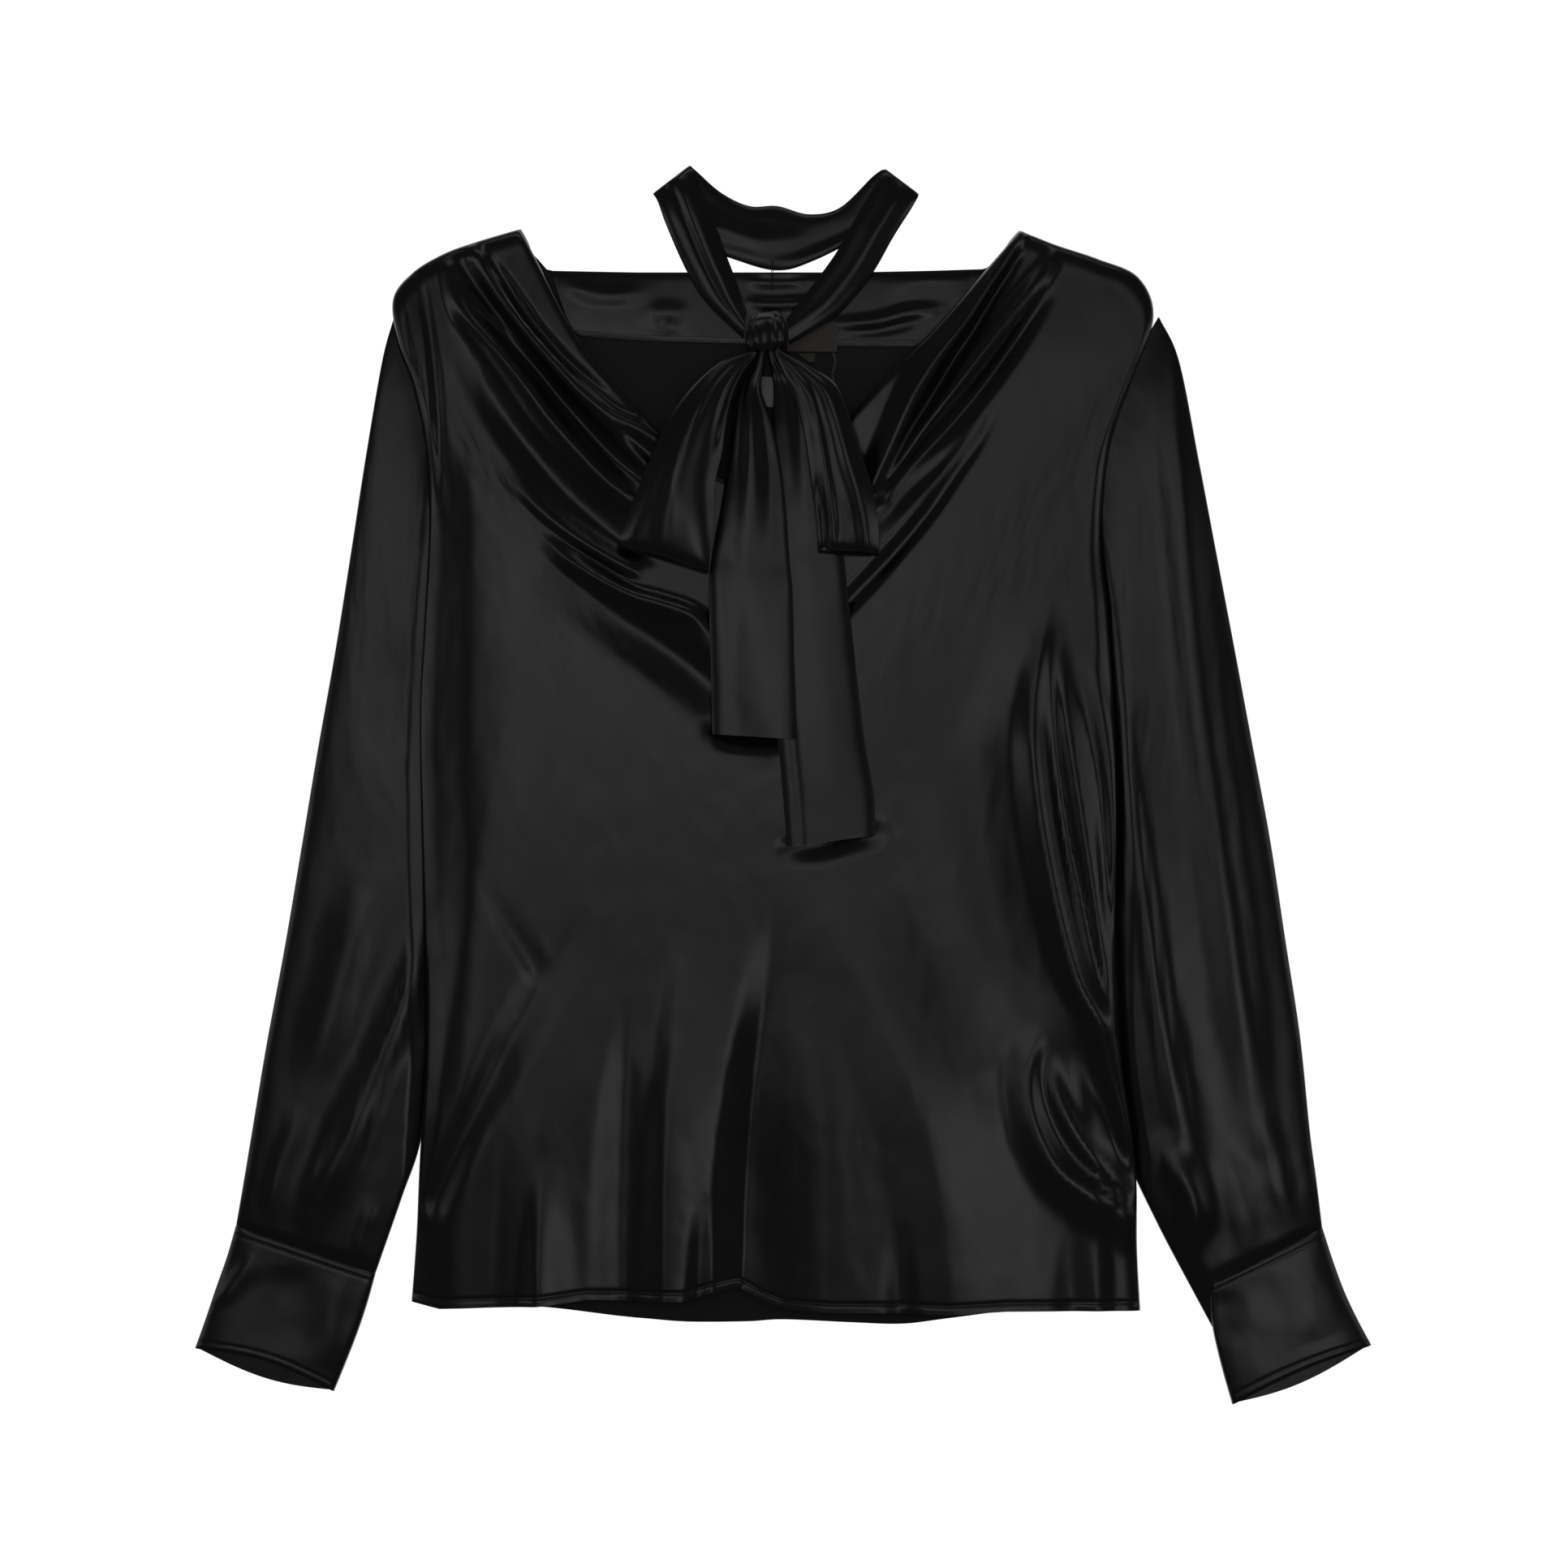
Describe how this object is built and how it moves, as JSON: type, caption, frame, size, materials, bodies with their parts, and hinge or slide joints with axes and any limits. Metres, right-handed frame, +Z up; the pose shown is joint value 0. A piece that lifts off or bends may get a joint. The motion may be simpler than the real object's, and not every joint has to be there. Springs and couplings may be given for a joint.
{
  "type": "blouse",
  "caption": "Long-sleeved black satin blouse laid flat, with a draped cowl neckline, wide cuffs and a neck sash tied in a bow.",
  "frame": {"origin": "centre of the bounding box, on the surface the blouse lies on", "axes": "+Z up from that surface, +Y to the neck, +X to the right as seen from above with the neck away from the viewer"},
  "size_m": [0.711, 0.7497, 0.0259],
  "materials": {
    "satin": "satin face",
    "wrong_side": "matte wrong side of the satin",
    "sash": "satin face",
    "label": "woven label",
    "beige_tape": "tape",
    "white_tape": "tape",
    "thread": "thread"
  },
  "bodies": {
    "root": {"front": "satin", "back": "wrong_side", "back_neck_facing": "satin", "sleeve_left": "satin", "sleeve_right": "satin", "cuff_left": "satin", "cuff_right": "satin", "sash_neck_loop": "sash", "sash_knot": "sash", "bow_loop_left": "sash", "bow_loop_right": "sash", "sash_tail_left": "sash", "sash_tail_right": "sash", "neck_label": "label", "size_tab": "beige_tape", "care_label": "white_tape", "thread_chain": "thread", "back_loop": "thread"}
  },
  "joints": []
}
